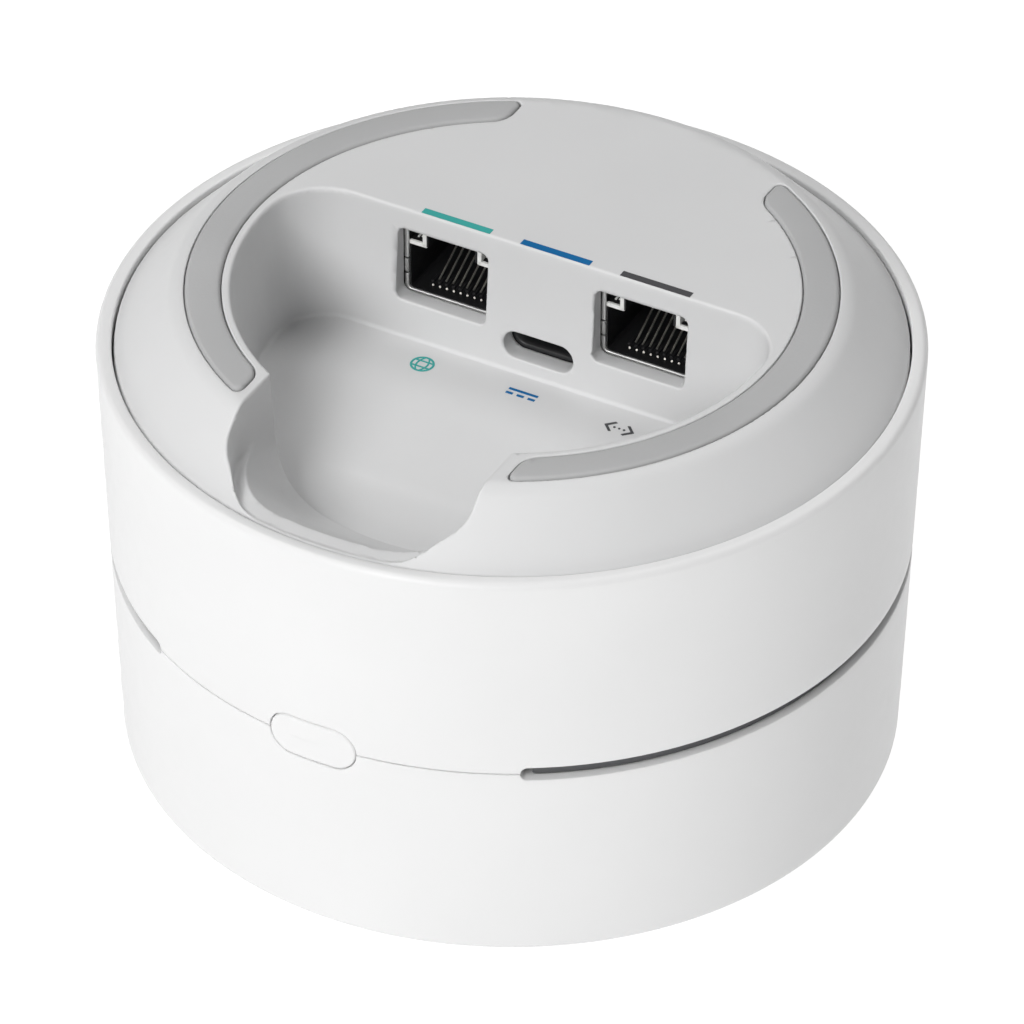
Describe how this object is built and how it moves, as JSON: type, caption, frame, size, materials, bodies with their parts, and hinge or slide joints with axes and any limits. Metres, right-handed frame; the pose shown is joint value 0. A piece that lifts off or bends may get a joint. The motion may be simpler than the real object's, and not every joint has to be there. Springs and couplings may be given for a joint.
{
  "type": "mesh wifi node",
  "caption": "Round puck mesh wifi node, stored feet up: tapered shell with seam light groove, reset button, arc feet and a scooped port pocket.",
  "frame": {"origin": "centre of the flat top cover face, which the object lies on here: it is stored upside down, as in the picture, with its feet up", "axes": "+Z along the puck's axis, from the top cover to the base with the feet and ports; -Y towards the cable exit and the reset button; in use the object is turned over so that -Z is up"},
  "size_m": [0.106, 0.106, 0.0678],
  "materials": {
    "shell_white": "fine satin moulded white",
    "base_grey": "fine satin moulded light grey",
    "foot_rubber": "soft matt grey rubber",
    "light_guide": "smoked light guide, unlit",
    "inner_plastic": "plain moulded grey",
    "black_plastic": "black moulded",
    "plated_steel": "tin plated sheet",
    "circuit_board": "green solder mask",
    "white_board": "white solder mask",
    "thermal_pad": "soft grey blue pad",
    "cast_heat_sink": "die cast, matt",
    "led_lens": "milky lens",
    "antenna_metal": "stamped copper alloy",
    "lead_jacket": "thin black jacket",
    "contact_gold": "gold plated",
    "screw_steel": "zinc plated",
    "teal_ink": "printed mark",
    "blue_ink": "printed mark",
    "dark_ink": "printed mark"
  },
  "bodies": {
    "housing": {"top_cover": "shell_white", "side_housing": "shell_white", "base_plate": "base_grey", "rubber_foot_left": "foot_rubber", "rubber_foot_right": "foot_rubber", "light_ring": "light_guide", "button_guide": "inner_plastic", "switch_body": "black_plastic", "wan_jack_shield": "plated_steel", "wan_jack_insert": "black_plastic", "wan_jack_contacts": "contact_gold", "wan_jack_windows": "led_lens", "lan_jack_shield": "plated_steel", "lan_jack_insert": "black_plastic", "lan_jack_contacts": "contact_gold", "lan_jack_windows": "led_lens", "usb_c_shell": "plated_steel", "usb_c_tongue": "black_plastic", "port_board": "circuit_board", "ethernet_transformers": "black_plastic", "power_inductor": "black_plastic", "board_socket": "inner_plastic", "board_header": "black_plastic", "main_board": "circuit_board", "wifi_processor": "black_plastic", "memory_chips": "black_plastic", "flash_chip": "black_plastic", "radio_shield_can": "plated_steel", "processor_shield_can": "plated_steel", "thermal_pads": "thermal_pad", "heat_sink": "cast_heat_sink", "inner_frame": "inner_plastic", "led_ring_board": "white_board", "status_leds": "led_lens", "antenna_carrier": "inner_plastic", "antenna_front": "antenna_metal", "antenna_back": "antenna_metal", "antenna_left": "antenna_metal", "antenna_right": "antenna_metal", "antenna_leads": "lead_jacket", "antenna_sockets": "contact_gold", "base_screws": "screw_steel", "frame_screws": "screw_steel", "heat_sink_screws": "screw_steel", "port_board_screws": "screw_steel", "teal_marks": "teal_ink", "blue_marks": "blue_ink", "dark_marks": "dark_ink"},
    "button": {"reset_button": "shell_white"},
    "plunger": {"switch_plunger": "inner_plastic"}
  },
  "joints": [
    {"name": "reset_press", "type": "slide", "parent": "housing", "child": "button", "axis": [0, 1, 0], "range_m": [0, 0.0004], "stiffness_N_per_m": 3000},
    {"name": "plunger_press", "type": "slide", "parent": "housing", "child": "plunger", "axis": [0, 1, 0], "range_m": [0, 0.0004]}
  ],
  "couplings": [
    {"joint": "plunger_press", "follows": "reset_press", "ratio": 1}
  ]
}
